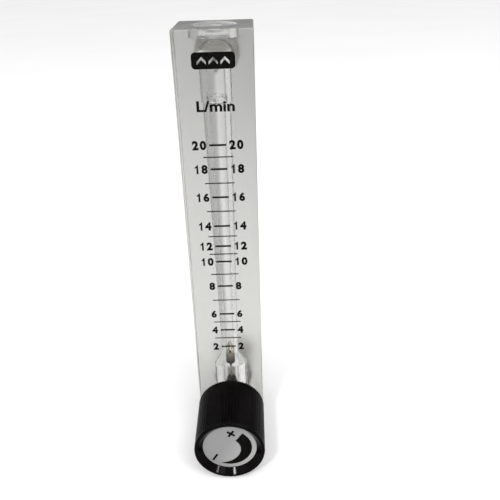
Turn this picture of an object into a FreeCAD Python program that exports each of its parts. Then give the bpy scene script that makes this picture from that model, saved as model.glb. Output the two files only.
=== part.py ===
import FreeCAD, Part
import os
import Sketcher

# Oxygen flowmeter: a clear acrylic block with a tapered bore and a float, a needle
# valve with a serrated knob at the front, and two hose fittings at the back.
# Frame: +Z up, origin at the centre of the block's bottom face, front towards -Y.
# Sizes in millimetres.

doc = FreeCAD.newDocument("OxygenFlowmeter")
sheet = doc.addObject("Spreadsheet::Sheet", "Sizes")

# Driving sizes
SIZES = [
    ("block_width", 25.0),
    ("block_depth", 25.0),
    ("block_height", 154.5),
    ("block_bevel", 0.4),
    ("valve_floor", 0.5),
    ("outlet_roof", 1.0),
    # Tapered bore and chambers
    ("recess_radius", 7.6),
    ("recess_depth", 3.6),
    ("plug_bore_radius", 6.3),
    ("plug_bore_depth", 8.0),
    ("chamber_radius", 6.0),
    ("flare_length", 5.0),
    ("float_seat_depth", 5.0),
    ("taper_low_radius", 3.0),
    ("taper_high_radius", 4.5),
    ("upper_chamber_radius", 5.0),
    ("upper_chamber_length", 15.5),
    # Ports
    ("seat_wall", 1.5),
    ("port_radius", 5.0),
    ("port_depth", 4.5),
    ("seal_recess_radius", 5.9),
    ("seal_recess_depth", 0.8),
    ("orifice_radius", 1.5),
    ("outlet_passage_radius", 2.0),
    # Clearances
    ("thread_gap", 0.05),
    ("running_gap", 0.07),
    ("press_gap", 0.05),
    ("loose_gap", 0.3),
    # Plugs and their seals
    ("plug_inset", 0.3),
    ("plug_head_thickness", 2.4),
    ("plug_end_gap", 0.2),
    ("plug_socket_across", 5.0),
    ("plug_socket_depth", 3.0),
    ("plug_head_bevel", 0.3),
    # Float and float stops
    ("stop_reach", 13.0),
    ("stop_cone_length", 2.2),
    ("stop_cone_radius", 1.25),
    ("stop_tip_radius", 0.4),
    ("stop_shank_radius", 0.35),
    ("stop_foot_depth", 0.45),
    ("upper_ring_wall", 1.0),
    ("upper_spoke_width", 1.0),
    ("upper_ring_thickness", 1.5),
    ("upper_hub_radius", 1.2),
    ("float_tail_radius", 0.5),
    ("float_tail_length", 1.5),
    ("float_foot_radius", 2.0),
    ("float_foot_length", 0.6),
    ("float_low_radius", 2.45),
    ("float_radius", 2.7),
    ("float_body_length", 6.2),
    ("float_rim_length", 1.4),
    ("float_tip_radius", 0.5),
    ("float_cone_length", 2.4),
    # Valve body
    ("valve_nose_reach", 3.3),
    ("valve_nose_length", 0.8),
    ("valve_nose_radius", 4.2),
    ("valve_flange_radius", 7.2),
    ("valve_flange_thickness", 2.0),
    ("valve_flange_bevel", 0.3),
    ("valve_flats_across", 12.4),
    ("valve_neck_radius", 4.0),
    ("valve_neck_length", 2.4),
    ("gland_radius", 3.0),
    ("gland_depth", 8.0),
    # Spindle
    ("spindle_radius", 2.5),
    ("needle_tip_radius", 0.5),
    ("needle_base_radius", 1.7),
    ("needle_length", 3.0),
    ("collar_back_inset", 1.0),
    ("collar_travel", 3.1),
    ("seal_groove_inset", 1.3),
    ("seal_groove_width", 1.3),
    ("seal_groove_radius", 1.9),
    ("spindle_seal_slack", 0.15),
    ("spindle_flat_depth", 0.5),
    ("spindle_flat_length", 11.0),
    ("spindle_reach", 15.4),
    # Knob
    ("knob_gap", 3.05),
    ("knob_radius", 12.8),
    ("knob_length", 24.0),
    ("knob_rim_width", 1.1),
    ("knob_rim_fillet", 0.6),
    ("knob_edge_fillet", 0.3),
    ("knob_wall", 1.8),
    ("knob_mouth_depth", 3.0),
    ("knob_hollow_depth", 17.0),
    ("knob_hub_radius", 5.0),
    ("knob_rib_thickness", 1.2),
    ("knob_bore_depth", 16.0),
    ("knob_boss_width", 6.4),
    ("knob_screw_height", 9.0),
    ("serration_count", 72.0),
    ("serration_depth", 0.35),
    ("serration_width", 1.24),
    ("serration_margin", 1.2),
    ("disc_recess", 2.0),
    ("disc_thickness", 1.0),
    ("disc_radius", 9.9),
    ("disc_bevel", 0.15),
    ("screw_radius", 1.5),
    ("screw_length", 6.5),
    ("screw_point_radius", 0.9),
    ("screw_point_length", 0.6),
    ("screw_socket_across", 1.5),
    ("screw_socket_depth", 1.8),
    # Rear fittings
    ("fitting_hex_across", 12.0),
    ("fitting_hex_thickness", 4.0),
    ("fitting_stub_radius", 5.0),
    ("fitting_stub_length", 12.0),
    ("fitting_bore_radius", 2.0),
    ("barb_root_radius", 3.2),
    ("barb_crest_radius", 4.2),
    ("barb_neck_length", 2.5),
    ("barb_pitch", 3.9),
    ("barb_land", 0.5),
    ("barb_tip_radius", 2.9),
    ("barb_tip_length", 1.3),
    ("hex_bevel", 0.7),
    ("washer_outer_radius", 6.6),
    ("washer_thickness", 1.0),
    ("nut_across", 12.0),
    ("nut_thickness", 3.5),
]

# Sizes that follow from the driving ones
FOLLOWING = [
    ("half_width", "block_width / 2"),
    ("half_depth", "block_depth / 2"),
    ("valve_bore_depth", "block_depth - port_depth - seat_wall"),
    ("valve_height", "plug_bore_depth + valve_floor + port_radius"),
    ("recess_floor_top", "block_height - recess_depth"),
    ("plug_bore_top_end", "block_height - plug_bore_depth"),
    ("outlet_height", "plug_bore_top_end - outlet_roof - outlet_passage_radius"),
    ("stop_tip_height", "valve_height + stop_reach"),
    ("flare_high_height", "stop_tip_height + float_tail_length + float_seat_depth"),
    ("flare_low_height", "flare_high_height - flare_length"),
    ("taper_high_height", "plug_bore_top_end - upper_chamber_length"),
    # Plugs
    ("plug_seal_thickness", "recess_depth - plug_inset - plug_head_thickness"),
    ("plug_thread_radius", "plug_bore_radius - thread_gap"),
    ("plug_head_radius", "recess_radius - loose_gap"),
    ("plug_head_bevel_radius", "plug_head_radius - plug_head_bevel"),
    ("plug_seal_inner", "plug_thread_radius + loose_gap"),
    ("plug_shank_end", "plug_bore_depth - plug_inset - plug_end_gap"),
    ("plug_thread_length", "plug_shank_end - plug_head_thickness"),
    ("plug_length", "plug_thread_length + plug_head_thickness"),
    ("plug_bevel_height", "plug_length - plug_head_bevel"),
    ("bottom_plug_height", "plug_inset + plug_length"),
    ("top_plug_height", "block_height - bottom_plug_height"),
    ("bottom_seal_height", "plug_inset + plug_head_thickness"),
    ("plug_socket_corner", "plug_socket_across / sqrt(3)"),
    # Upper float stop
    ("upper_ring_outer", "upper_chamber_radius - press_gap"),
    ("upper_ring_inner", "upper_ring_outer - upper_ring_wall"),
    ("upper_spoke_reach", "upper_ring_outer - upper_ring_wall / 2"),
    ("half_spoke", "upper_spoke_width / 2"),
    # Float
    ("float_foot_height", "float_tail_length + float_foot_length"),
    ("float_body_top", "float_tail_length + float_body_length"),
    ("float_rim_low", "float_body_top - float_rim_length"),
    ("float_height", "float_body_top + float_cone_length"),
    # Port seals
    ("port_seal_inner", "port_radius + press_gap * 4"),
    ("port_seal_outer", "seal_recess_radius - press_gap * 4"),
    ("seal_recess_inset", "half_depth - seal_recess_depth"),
    # Valve body
    ("port_thread_radius", "port_radius - thread_gap"),
    ("valve_barrel_length", "half_depth + valve_nose_reach"),
    ("valve_flange_top", "valve_barrel_length + valve_flange_thickness"),
    ("valve_flange_bevel_height", "valve_flange_top - valve_flange_bevel"),
    ("valve_flange_bevel_radius", "valve_flange_radius - valve_flange_bevel"),
    ("valve_body_length", "valve_flange_top + valve_neck_length"),
    ("spindle_bore_radius", "spindle_radius + thread_gap"),
    ("stop_socket_floor", "port_thread_radius - stop_foot_depth"),
    ("stop_socket_radius", "stop_shank_radius + press_gap"),
    ("stop_socket_depth", "stop_foot_depth * 2"),
    # Lower float stop, measured from its foot
    ("stop_foot_height", "valve_height + stop_socket_floor"),
    ("stop_length", "stop_tip_height - stop_foot_height"),
    ("stop_cone_start", "stop_length - stop_cone_length"),
    ("half_flats", "valve_flats_across / 2"),
    # Spindle, measured from the tip of its needle
    ("needle_slope", "needle_length / (needle_base_radius - needle_tip_radius)"),
    ("needle_dip", "(orifice_radius - running_gap - needle_tip_radius) * needle_slope"),
    ("seat_inset", "valve_bore_depth - half_depth"),
    ("spindle_tip_inset", "seat_inset + needle_dip"),
    ("gland_start", "spindle_tip_inset - valve_nose_reach"),
    ("collar_start", "gland_start + collar_back_inset"),
    ("collar_end", "gland_start + gland_depth - collar_travel"),
    ("collar_radius", "gland_radius - running_gap"),
    ("seal_groove_start", "collar_start + seal_groove_inset"),
    ("seal_groove_end", "seal_groove_start + seal_groove_width"),
    ("spindle_length", "spindle_tip_inset + half_depth + knob_gap + spindle_reach"),
    ("spindle_flat_start", "spindle_length - spindle_flat_length"),
    ("spindle_flat_offset", "spindle_radius - spindle_flat_depth"),
    ("spindle_seal_outer", "gland_radius - running_gap / 2"),
    ("spindle_seal_inner", "seal_groove_radius + running_gap / 2"),
    ("spindle_seal_width", "seal_groove_width - spindle_seal_slack * 2"),
    ("spindle_seal_start", "seal_groove_start + spindle_seal_slack"),
    ("spindle_seal_y", "spindle_tip_inset - spindle_seal_start"),
    # Knob
    ("knob_y", "half_depth + knob_gap"),
    ("knob_inner_radius", "knob_radius - knob_wall"),
    ("disc_pocket_radius", "disc_radius + press_gap"),
    ("disc_front_height", "knob_length - disc_recess"),
    ("disc_seat_height", "disc_front_height - disc_thickness"),
    ("knob_mouth_radius", "knob_radius - knob_rim_width"),
    ("knob_bore_radius", "spindle_radius + press_gap"),
    ("knob_rib_length", "knob_hollow_depth - knob_mouth_depth"),
    ("half_rib", "knob_rib_thickness / 2"),
    ("rib_reach", "knob_inner_radius + knob_wall / 2"),
    ("rib_start", "knob_hub_radius - knob_wall / 2"),
    ("half_boss", "knob_boss_width / 2"),
    ("screw_hole_radius", "screw_radius + thread_gap"),
    ("serration_length", "knob_length - serration_margin"),
    ("serration_root", "knob_radius - serration_depth"),
    ("serration_outside", "knob_radius + serration_depth"),
    ("serration_half", "serration_width / 2"),
    ("disc_y", "knob_y + disc_seat_height"),
    ("disc_bevel_radius", "disc_radius - disc_bevel"),
    ("disc_bevel_height", "disc_thickness - disc_bevel"),
    ("screw_y", "knob_y + knob_screw_height"),
    ("screw_height", "valve_height - spindle_flat_offset"),
    ("screw_socket_corner", "screw_socket_across / sqrt(3)"),
    # Rear fittings, measured from the inner end of the thread
    ("fitting_thread_length", "port_depth - plug_end_gap"),
    ("fitting_y", "half_depth - fitting_thread_length"),
    ("fitting_hex_end", "fitting_thread_length + fitting_hex_thickness"),
    ("fitting_hex_corner", "fitting_hex_across / sqrt(3)"),
    ("fitting_hex_bevel_radius", "fitting_hex_corner - hex_bevel * 2"),
    ("fitting_hex_bevel_height", "fitting_hex_end - hex_bevel"),
    ("fitting_stub_end", "fitting_hex_end + fitting_stub_length"),
    ("barb_one", "fitting_stub_end + barb_neck_length"),
    ("barb_one_land", "barb_one + barb_land"),
    ("barb_two", "barb_one + barb_pitch"),
    ("barb_two_land", "barb_two + barb_land"),
    ("barb_three", "barb_two + barb_pitch"),
    ("barb_three_land", "barb_three + barb_land"),
    ("barb_slope_end", "barb_three + barb_pitch"),
    ("barb_end", "barb_slope_end + barb_tip_length"),
    ("fitting_washer_y", "half_depth + fitting_hex_thickness"),
    ("washer_inner_radius", "fitting_stub_radius + loose_gap"),
    ("nut_y", "fitting_washer_y + washer_thickness"),
    ("nut_bore_radius", "fitting_stub_radius + thread_gap"),
    ("nut_corner", "nut_across / sqrt(3)"),
    ("nut_bevel_radius", "nut_corner - hex_bevel * 2"),
    ("nut_bevel_height", "nut_thickness - hex_bevel"),
    ("nut_outside", "nut_corner + hex_bevel"),
    ("fitting_outside", "fitting_hex_corner + hex_bevel"),
]

row = 1
for name, value in SIZES:
    sheet.set("A%d" % row, name)
    sheet.set("B%d" % row, str(value))
    sheet.setAlias("B%d" % row, name)
    row += 1
doc.recompute()
for name, formula in FOLLOWING:
    sheet.set("A%d" % row, name)
    sheet.set("B%d" % row, "=" + formula)
    sheet.setAlias("B%d" % row, name)
    row += 1
doc.recompute()


def size(name):
    return float(sheet.get(name))


def link(name):
    return "Sizes." + name


# Helpers for bodies and sketches

def new_body(label):
    body = doc.addObject("PartDesign::Body", label)
    body.Label = label
    return body


def origin_item(body, role):
    for item in body.Origin.OriginFeatures:
        if item.Role == role:
            return item
    raise ValueError(role)


def new_sketch(body, name, plane, lift=None, sign=""):
    sketch = body.newObject("Sketcher::SketchObject", name)
    sketch.AttachmentSupport = [(origin_item(body, plane), "")]
    sketch.MapMode = "FlatFace"
    if lift:
        sketch.setExpression("AttachmentOffset.Base.z", sign + link(lift))
    return sketch


def drive(sketch, constraint, formula):
    index = sketch.addConstraint(constraint)
    sketch.setExpression("Constraints[%d]" % index, formula)


def place_point(sketch, edge, point, across, up):
    # Each coordinate is the name of a size, the name with a minus sign, or None for 0
    for kind, axis, name in (("DistanceX", -2, across), ("DistanceY", -1, up)):
        if name is None:
            sketch.addConstraint(Sketcher.Constraint("PointOnObject", edge, point, axis))
        elif name.startswith("-"):
            value = size(name[1:])
            rule = Sketcher.Constraint(kind, edge, point, -1, 1, value)
            drive(sketch, rule, link(name[1:]))
        else:
            rule = Sketcher.Constraint(kind, -1, 1, edge, point, size(name))
            drive(sketch, rule, link(name))


def coordinate(name):
    if name is None:
        return 0.0
    if name.startswith("-"):
        return -size(name[1:])
    return size(name)


def polygon(sketch, corners):
    spots = []
    for across, up in corners:
        spots.append(FreeCAD.Vector(coordinate(across), coordinate(up), 0))
    count = len(spots)
    first = sketch.GeometryCount
    for i in range(count):
        sketch.addGeometry(Part.LineSegment(spots[i], spots[(i + 1) % count]), False)
    for i in range(count):
        after = first + (i + 1) % count
        sketch.addConstraint(Sketcher.Constraint("Coincident", first + i, 2, after, 1))
    for i in range(count):
        place_point(sketch, first + i, 1, corners[i][0], corners[i][1])


def circle(sketch, radius, across=None, up=None):
    centre = FreeCAD.Vector(coordinate(across), coordinate(up), 0)
    ring = Part.Circle(centre, FreeCAD.Vector(0, 0, 1), size(radius))
    edge = sketch.addGeometry(ring, False)
    place_point(sketch, edge, 3, across, up)
    drive(sketch, Sketcher.Constraint("Radius", edge, size(radius)), link(radius))


def hexagon(sketch, corner):
    radius = size(corner)
    up = FreeCAD.Vector(0, 0, 1)
    guide = sketch.addGeometry(Part.Circle(FreeCAD.Vector(0, 0, 0), up, radius), True)
    sketch.addConstraint(Sketcher.Constraint("Coincident", guide, 3, -1, 1))
    drive(sketch, Sketcher.Constraint("Radius", guide, radius), link(corner))
    turn = FreeCAD.Rotation(up, 60)
    spot = FreeCAD.Vector(0, radius, 0)
    first = sketch.GeometryCount
    for i in range(6):
        after = turn.multVec(spot)
        sketch.addGeometry(Part.LineSegment(spot, after), False)
        spot = after
    for i in range(6):
        after = first + (i + 1) % 6
        sketch.addConstraint(Sketcher.Constraint("Coincident", first + i, 2, after, 1))
        sketch.addConstraint(Sketcher.Constraint("PointOnObject", first + i, 2, guide))
        if i:
            sketch.addConstraint(Sketcher.Constraint("Equal", first, first + i))
    sketch.addConstraint(Sketcher.Constraint("PointOnObject", first, 1, -2))


def volume(body):
    if body.Tip is None or body.Tip.Shape.isNull():
        return 0.0
    return body.Tip.Shape.Volume


def feature(body, kind, name, sketch, removes):
    before = volume(body)
    item = body.newObject("PartDesign::" + kind, name)
    item.Profile = sketch
    return item, before, removes


def settle(body, item, before, removes):
    doc.recompute()
    after = item.Shape.Volume
    if removes and not after < before:
        raise ValueError(item.Name + " removes nothing")
    if not removes and not after > before:
        raise ValueError(item.Name + " adds nothing")
    return item


def revolve(body, name, corners, removes=False):
    sketch = new_sketch(body, name + "Sketch", "XZ_Plane")
    polygon(sketch, corners)
    kind = "Groove" if removes else "Revolution"
    item, before, removes = feature(body, kind, name, sketch, removes)
    item.ReferenceAxis = (sketch, ["V_Axis"])
    item.Angle = 360
    return settle(body, item, before, removes)


def extrude(body, name, sketch, length, removes=False, flip=False, through=False):
    kind = "Pocket" if removes else "Pad"
    item, before, removes = feature(body, kind, name, sketch, removes)
    item.Reversed = flip
    if through:
        item.Type = "ThroughAll"
        item.Midplane = True
    else:
        item.Length = size(length)
        item.setExpression("Length", link(length))
    return settle(body, item, before, removes)


def around(body, name, source, count, role="Z_Axis"):
    before = volume(body)
    pattern = body.newObject("PartDesign::PolarPattern", name)
    pattern.Originals = [source]
    pattern.Axis = (origin_item(body, role), [""])
    pattern.Angle = 360
    if isinstance(count, str):
        pattern.Occurrences = int(size(count))
        pattern.setExpression("Occurrences", link(count))
    else:
        pattern.Occurrences = count
    body.Tip = pattern
    doc.recompute()
    if abs(pattern.Shape.Volume - before) < 1e-6:
        raise ValueError(name + " changes nothing")
    return pattern


def put(body, across=None, forward=None, up=None, turn=None):
    if turn:
        body.Placement.Rotation = turn
    for axis, formula in (("x", across), ("y", forward), ("z", up)):
        if formula:
            body.setExpression("Placement.Base." + axis, formula)


TO_BACK = FreeCAD.Rotation(FreeCAD.Vector(1, 0, 0), -90)
TO_FRONT = FreeCAD.Rotation(FreeCAD.Vector(1, 0, 0), 90)
TO_BELOW = FreeCAD.Rotation(FreeCAD.Vector(1, 0, 0), 180)

# Acrylic block with its stepped and tapered bore and three ports
block = new_body("body_block")
sketch = new_sketch(block, "BlockOutline", "XY_Plane")
polygon(sketch, [
    ("-half_width", "-half_depth"),
    ("half_width", "-half_depth"),
    ("half_width", "half_depth"),
    ("-half_width", "half_depth"),
])
extrude(block, "BlockSolid", sketch, "block_height")
bevel = block.newObject("PartDesign::Chamfer", "BlockBevel")
bevel.Base = (block.getObject("BlockSolid"), ["Face%d" % (i + 1) for i in range(6)])
bevel.Size = size("block_bevel")
bevel.setExpression("Size", link("block_bevel"))
doc.recompute()
revolve(block, "StepBore", [
    (None, None),
    ("recess_radius", None),
    ("recess_radius", "recess_depth"),
    ("plug_bore_radius", "recess_depth"),
    ("plug_bore_radius", "plug_bore_depth"),
    ("chamber_radius", "plug_bore_depth"),
    ("chamber_radius", "flare_low_height"),
    ("taper_low_radius", "flare_high_height"),
    ("taper_high_radius", "taper_high_height"),
    ("upper_chamber_radius", "taper_high_height"),
    ("upper_chamber_radius", "plug_bore_top_end"),
    ("plug_bore_radius", "plug_bore_top_end"),
    ("plug_bore_radius", "recess_floor_top"),
    ("recess_radius", "recess_floor_top"),
    ("recess_radius", "block_height"),
    (None, "block_height"),
], removes=True)
for name, radius, height, depth, lift, sign, flip in (
        ("ValveBore", "port_radius", "valve_height", "valve_bore_depth", "half_depth", "", False),
        ("ValveSealRecess", "seal_recess_radius", "valve_height", "seal_recess_depth",
         "half_depth", "", False),
        ("InletPort", "port_radius", "valve_height", "port_depth", "half_depth", "-", True),
        ("InletSealRecess", "seal_recess_radius", "valve_height", "seal_recess_depth",
         "half_depth", "-", True),
        ("InletOrifice", "orifice_radius", "valve_height", "half_depth", "half_depth", "-", True),
        ("OutletPort", "port_radius", "outlet_height", "port_depth", "half_depth", "-", True),
        ("OutletSealRecess", "seal_recess_radius", "outlet_height", "seal_recess_depth",
         "half_depth", "-", True),
        ("OutletPassage", "outlet_passage_radius", "outlet_height", "half_depth",
         "half_depth", "-", True)):
    sketch = new_sketch(block, name + "Sketch", "XZ_Plane", lift, sign)
    circle(sketch, radius, None, height)
    extrude(block, name, sketch, depth, removes=True, flip=flip)


# Clear screw plugs with a hexagon socket, and their flat seals
def screw_plug(label):
    body = new_body(label)
    revolve(body, label + "_turned", [
        (None, None),
        ("plug_thread_radius", None),
        ("plug_thread_radius", "plug_thread_length"),
        ("plug_head_radius", "plug_thread_length"),
        ("plug_head_radius", "plug_bevel_height"),
        ("plug_head_bevel_radius", "plug_length"),
        (None, "plug_length"),
    ])
    sketch = new_sketch(body, label + "_socket_sketch", "XY_Plane", "plug_length")
    hexagon(sketch, "plug_socket_corner")
    extrude(body, label + "_socket", sketch, "plug_socket_depth", removes=True)
    return body


def flat_ring(label, inner, outer, thickness):
    body = new_body(label)
    revolve(body, label + "_turned", [
        (inner, None),
        (outer, None),
        (outer, thickness),
        (inner, thickness),
    ])
    return body


put(screw_plug("top_plug"), up=link("top_plug_height"))
put(screw_plug("bottom_plug"), up=link("bottom_plug_height"), turn=TO_BELOW)
ring = flat_ring("top_plug_seal", "plug_seal_inner", "plug_head_radius", "plug_seal_thickness")
put(ring, up=link("recess_floor_top"))
ring = flat_ring("bottom_plug_seal", "plug_seal_inner", "plug_head_radius", "plug_seal_thickness")
put(ring, up=link("bottom_seal_height"))


# Lower float stop: a cone on a thin shank, pressed into the valve body's nose
stop = new_body("lower_float_stop")
revolve(stop, "LowerStopTurned", [
    (None, None),
    ("stop_shank_radius", None),
    ("stop_shank_radius", "stop_cone_start"),
    ("stop_cone_radius", "stop_cone_start"),
    ("stop_tip_radius", "stop_length"),
    (None, "stop_length"),
])
put(stop, up=link("stop_foot_height"))

# Upper float stop: a clear ring with three spokes and a hub, on the bore's shoulder
stop = new_body("upper_float_stop")
sketch = new_sketch(stop, "UpperRingSketch", "XY_Plane")
circle(sketch, "upper_ring_outer")
circle(sketch, "upper_ring_inner")
extrude(stop, "UpperRing", sketch, "upper_ring_thickness")
sketch = new_sketch(stop, "UpperSpokeSketch", "XY_Plane")
polygon(sketch, [
    (None, "-half_spoke"),
    ("upper_spoke_reach", "-half_spoke"),
    ("upper_spoke_reach", "half_spoke"),
    (None, "half_spoke"),
])
spoke = extrude(stop, "UpperSpoke", sketch, "upper_ring_thickness")
around(stop, "UpperSpokes", spoke, 3)
revolve(stop, "UpperHub", [
    (None, None),
    ("upper_hub_radius", None),
    ("upper_hub_radius", "upper_ring_thickness"),
    (None, "upper_ring_thickness"),
])
put(stop, up=link("taper_high_height"))

# Steel float, standing on the tip of the lower stop
bobbin = new_body("float")
revolve(bobbin, "FloatTurned", [
    (None, None),
    ("float_tail_radius", None),
    ("float_tail_radius", "float_tail_length"),
    ("float_foot_radius", "float_tail_length"),
    ("float_low_radius", "float_foot_height"),
    ("float_low_radius", "float_rim_low"),
    ("float_radius", "float_rim_low"),
    ("float_radius", "float_body_top"),
    ("float_tip_radius", "float_height"),
    (None, "float_height"),
])
put(bobbin, up=link("stop_tip_height"))

# Needle valve body, screwed into the front of the block
valve = new_body("valve_body")
revolve(valve, "ValveTurned", [
    ("gland_radius", None),
    ("valve_nose_radius", None),
    ("port_thread_radius", "valve_nose_length"),
    ("port_thread_radius", "valve_barrel_length"),
    ("valve_flange_radius", "valve_barrel_length"),
    ("valve_flange_radius", "valve_flange_bevel_height"),
    ("valve_flange_bevel_radius", "valve_flange_top"),
    ("valve_neck_radius", "valve_flange_top"),
    ("valve_neck_radius", "valve_body_length"),
    ("spindle_bore_radius", "valve_body_length"),
    ("spindle_bore_radius", "gland_depth"),
    ("gland_radius", "gland_depth"),
])
sketch = new_sketch(valve, "SpannerFlatSketch", "XY_Plane", "valve_barrel_length")
polygon(sketch, [
    ("half_flats", "-valve_flange_radius"),
    ("knob_radius", "-valve_flange_radius"),
    ("knob_radius", "valve_flange_radius"),
    ("half_flats", "valve_flange_radius"),
])
flat = extrude(valve, "SpannerFlat", sketch, "valve_flange_thickness", removes=True, flip=True)
around(valve, "SpannerFlats", flat, 2)
sketch = new_sketch(valve, "StopSocketSketch", "XZ_Plane", "stop_socket_floor", "-")
circle(sketch, "stop_socket_radius", None, "valve_nose_reach")
extrude(valve, "StopSocket", sketch, "stop_socket_depth", removes=True)
put(valve, forward=link("valve_nose_reach"), up=link("valve_height"), turn=TO_FRONT)

ring = flat_ring("valve_body_seal", "port_seal_inner", "port_seal_outer", "seal_recess_depth")
put(ring, forward="-" + link("seal_recess_inset"), up=link("valve_height"), turn=TO_FRONT)

# Spindle with its needle, collar and seal groove
spindle = new_body("spindle")
revolve(spindle, "SpindleTurned", [
    (None, None),
    ("needle_tip_radius", None),
    ("needle_base_radius", "needle_length"),
    ("needle_base_radius", "collar_start"),
    ("collar_radius", "collar_start"),
    ("collar_radius", "seal_groove_start"),
    ("seal_groove_radius", "seal_groove_start"),
    ("seal_groove_radius", "seal_groove_end"),
    ("collar_radius", "seal_groove_end"),
    ("collar_radius", "collar_end"),
    ("spindle_radius", "collar_end"),
    ("spindle_radius", "spindle_length"),
    (None, "spindle_length"),
])
sketch = new_sketch(spindle, "SpindleFlatSketch", "XY_Plane", "spindle_flat_start")
polygon(sketch, [
    ("-knob_hub_radius", "-knob_hub_radius"),
    ("knob_hub_radius", "-knob_hub_radius"),
    ("knob_hub_radius", "-spindle_flat_offset"),
    ("-knob_hub_radius", "-spindle_flat_offset"),
])
extrude(spindle, "SpindleFlat", sketch, "spindle_flat_length", removes=True, flip=True)
put(spindle, forward=link("spindle_tip_inset"), up=link("valve_height"), turn=TO_FRONT)

ring = flat_ring("spindle_seal", "spindle_seal_inner", "spindle_seal_outer", "spindle_seal_width")
put(ring, forward=link("spindle_seal_y"), up=link("valve_height"), turn=TO_FRONT)

# Knob: serrated outside, hollow back, hub with ribs and a screw boss, face recess
knob = new_body("knob")
revolve(knob, "KnobTurned", [
    (None, "knob_mouth_depth"),
    ("knob_hub_radius", "knob_mouth_depth"),
    ("knob_hub_radius", "knob_hollow_depth"),
    ("knob_inner_radius", "knob_hollow_depth"),
    ("knob_inner_radius", None),
    ("knob_radius", None),
    ("knob_radius", "knob_length"),
    ("knob_mouth_radius", "knob_length"),
    ("disc_pocket_radius", "disc_front_height"),
    ("disc_pocket_radius", "disc_seat_height"),
    (None, "disc_seat_height"),
])


def rim_edges(body, radius, height):
    names = []
    for index, edge in enumerate(body.Tip.Shape.Edges):
        curve = edge.Curve
        if not isinstance(curve, Part.Circle):
            continue
        same = abs(curve.Radius - size(radius)) < 1e-4
        if same and abs(curve.Center.z - size(height)) < 1e-4:
            names.append("Edge%d" % (index + 1))
    return names


for name, radius, fillet in (("OuterRimRound", "knob_radius", "knob_rim_fillet"),
                             ("InnerRimRound", "knob_mouth_radius", "knob_edge_fillet")):
    edges = rim_edges(knob, radius, "knob_length")
    base = knob.Tip
    item = knob.newObject("PartDesign::Fillet", name)
    item.Base = (base, edges)
    item.Radius = size(fillet)
    item.setExpression("Radius", link(fillet))
    doc.recompute()
sketch = new_sketch(knob, "RibSketch", "XY_Plane", "knob_mouth_depth")
polygon(sketch, [
    ("rib_start", "-half_rib"),
    ("rib_reach", "-half_rib"),
    ("rib_reach", "half_rib"),
    ("rib_start", "half_rib"),
])
rib = extrude(knob, "Rib", sketch, "knob_rib_length")
around(knob, "Ribs", rib, 4)
sketch = new_sketch(knob, "BossSketch", "XY_Plane", "knob_mouth_depth")
polygon(sketch, [
    ("-half_boss", "-rib_start"),
    ("-half_boss", "-rib_reach"),
    ("half_boss", "-rib_reach"),
    ("half_boss", "-rib_start"),
])
extrude(knob, "ScrewBoss", sketch, "knob_rib_length")
sketch = new_sketch(knob, "SpindleBoreSketch", "XY_Plane")
circle(sketch, "knob_bore_radius")
extrude(knob, "SpindleBore", sketch, "knob_bore_depth", removes=True, flip=True)
sketch = new_sketch(knob, "ScrewHoleSketch", "XZ_Plane")
circle(sketch, "screw_hole_radius", None, "knob_screw_height")
extrude(knob, "ScrewHole", sketch, "serration_outside", removes=True, flip=True)
sketch = new_sketch(knob, "SerrationSketch", "XY_Plane")
polygon(sketch, [
    ("serration_root", None),
    ("serration_outside", "-serration_half"),
    ("serration_outside", "serration_half"),
])
groove = extrude(knob, "Serration", sketch, "serration_length", removes=True, flip=True)
around(knob, "Serrations", groove, "serration_count")
put(knob, forward="-" + link("knob_y"), up=link("valve_height"), turn=TO_FRONT)

disc = new_body("knob_face_disc")
revolve(disc, "DiscTurned", [
    (None, None),
    ("disc_radius", None),
    ("disc_radius", "disc_bevel_height"),
    ("disc_bevel_radius", "disc_thickness"),
    (None, "disc_thickness"),
])
put(disc, forward="-" + link("disc_y"), up=link("valve_height"), turn=TO_FRONT)

screw = new_body("knob_set_screw")
revolve(screw, "ScrewTurned", [
    (None, None),
    ("screw_point_radius", None),
    ("screw_radius", "screw_point_length"),
    ("screw_radius", "screw_length"),
    (None, "screw_length"),
])
sketch = new_sketch(screw, "ScrewSocketSketch", "XY_Plane", "screw_length")
hexagon(sketch, "screw_socket_corner")
extrude(screw, "ScrewSocket", sketch, "screw_socket_depth", removes=True)
put(screw, forward="-" + link("screw_y"), up=link("screw_height"), turn=TO_BELOW)


# Rear fittings: thread, hexagon, panel thread and hose barb, drilled through
def hose_fitting(label, height):
    body = new_body(label)
    sketch = new_sketch(body, label + "_hex_sketch", "XY_Plane", "fitting_thread_length")
    hexagon(sketch, "fitting_hex_corner")
    extrude(body, label + "_hex", sketch, "fitting_hex_thickness")
    revolve(body, label + "_hex_bevel", [
        ("fitting_hex_bevel_radius", "fitting_hex_end"),
        ("fitting_outside", "fitting_hex_bevel_height"),
        ("fitting_outside", "fitting_hex_end"),
    ], removes=True)
    revolve(body, label + "_turned", [
        (None, None),
        ("port_thread_radius", None),
        ("port_thread_radius", "fitting_thread_length"),
        ("fitting_stub_radius", "fitting_thread_length"),
        ("fitting_stub_radius", "fitting_stub_end"),
        ("barb_root_radius", "fitting_stub_end"),
        ("barb_root_radius", "barb_one"),
        ("barb_crest_radius", "barb_one"),
        ("barb_crest_radius", "barb_one_land"),
        ("barb_root_radius", "barb_two"),
        ("barb_crest_radius", "barb_two"),
        ("barb_crest_radius", "barb_two_land"),
        ("barb_root_radius", "barb_three"),
        ("barb_crest_radius", "barb_three"),
        ("barb_crest_radius", "barb_three_land"),
        ("barb_root_radius", "barb_slope_end"),
        ("barb_tip_radius", "barb_end"),
        (None, "barb_end"),
    ])
    sketch = new_sketch(body, label + "_bore_sketch", "XY_Plane")
    circle(sketch, "fitting_bore_radius")
    extrude(body, label + "_bore", sketch, "barb_end", removes=True, flip=True)
    put(body, forward=link("fitting_y"), up=link(height), turn=TO_BACK)


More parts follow.
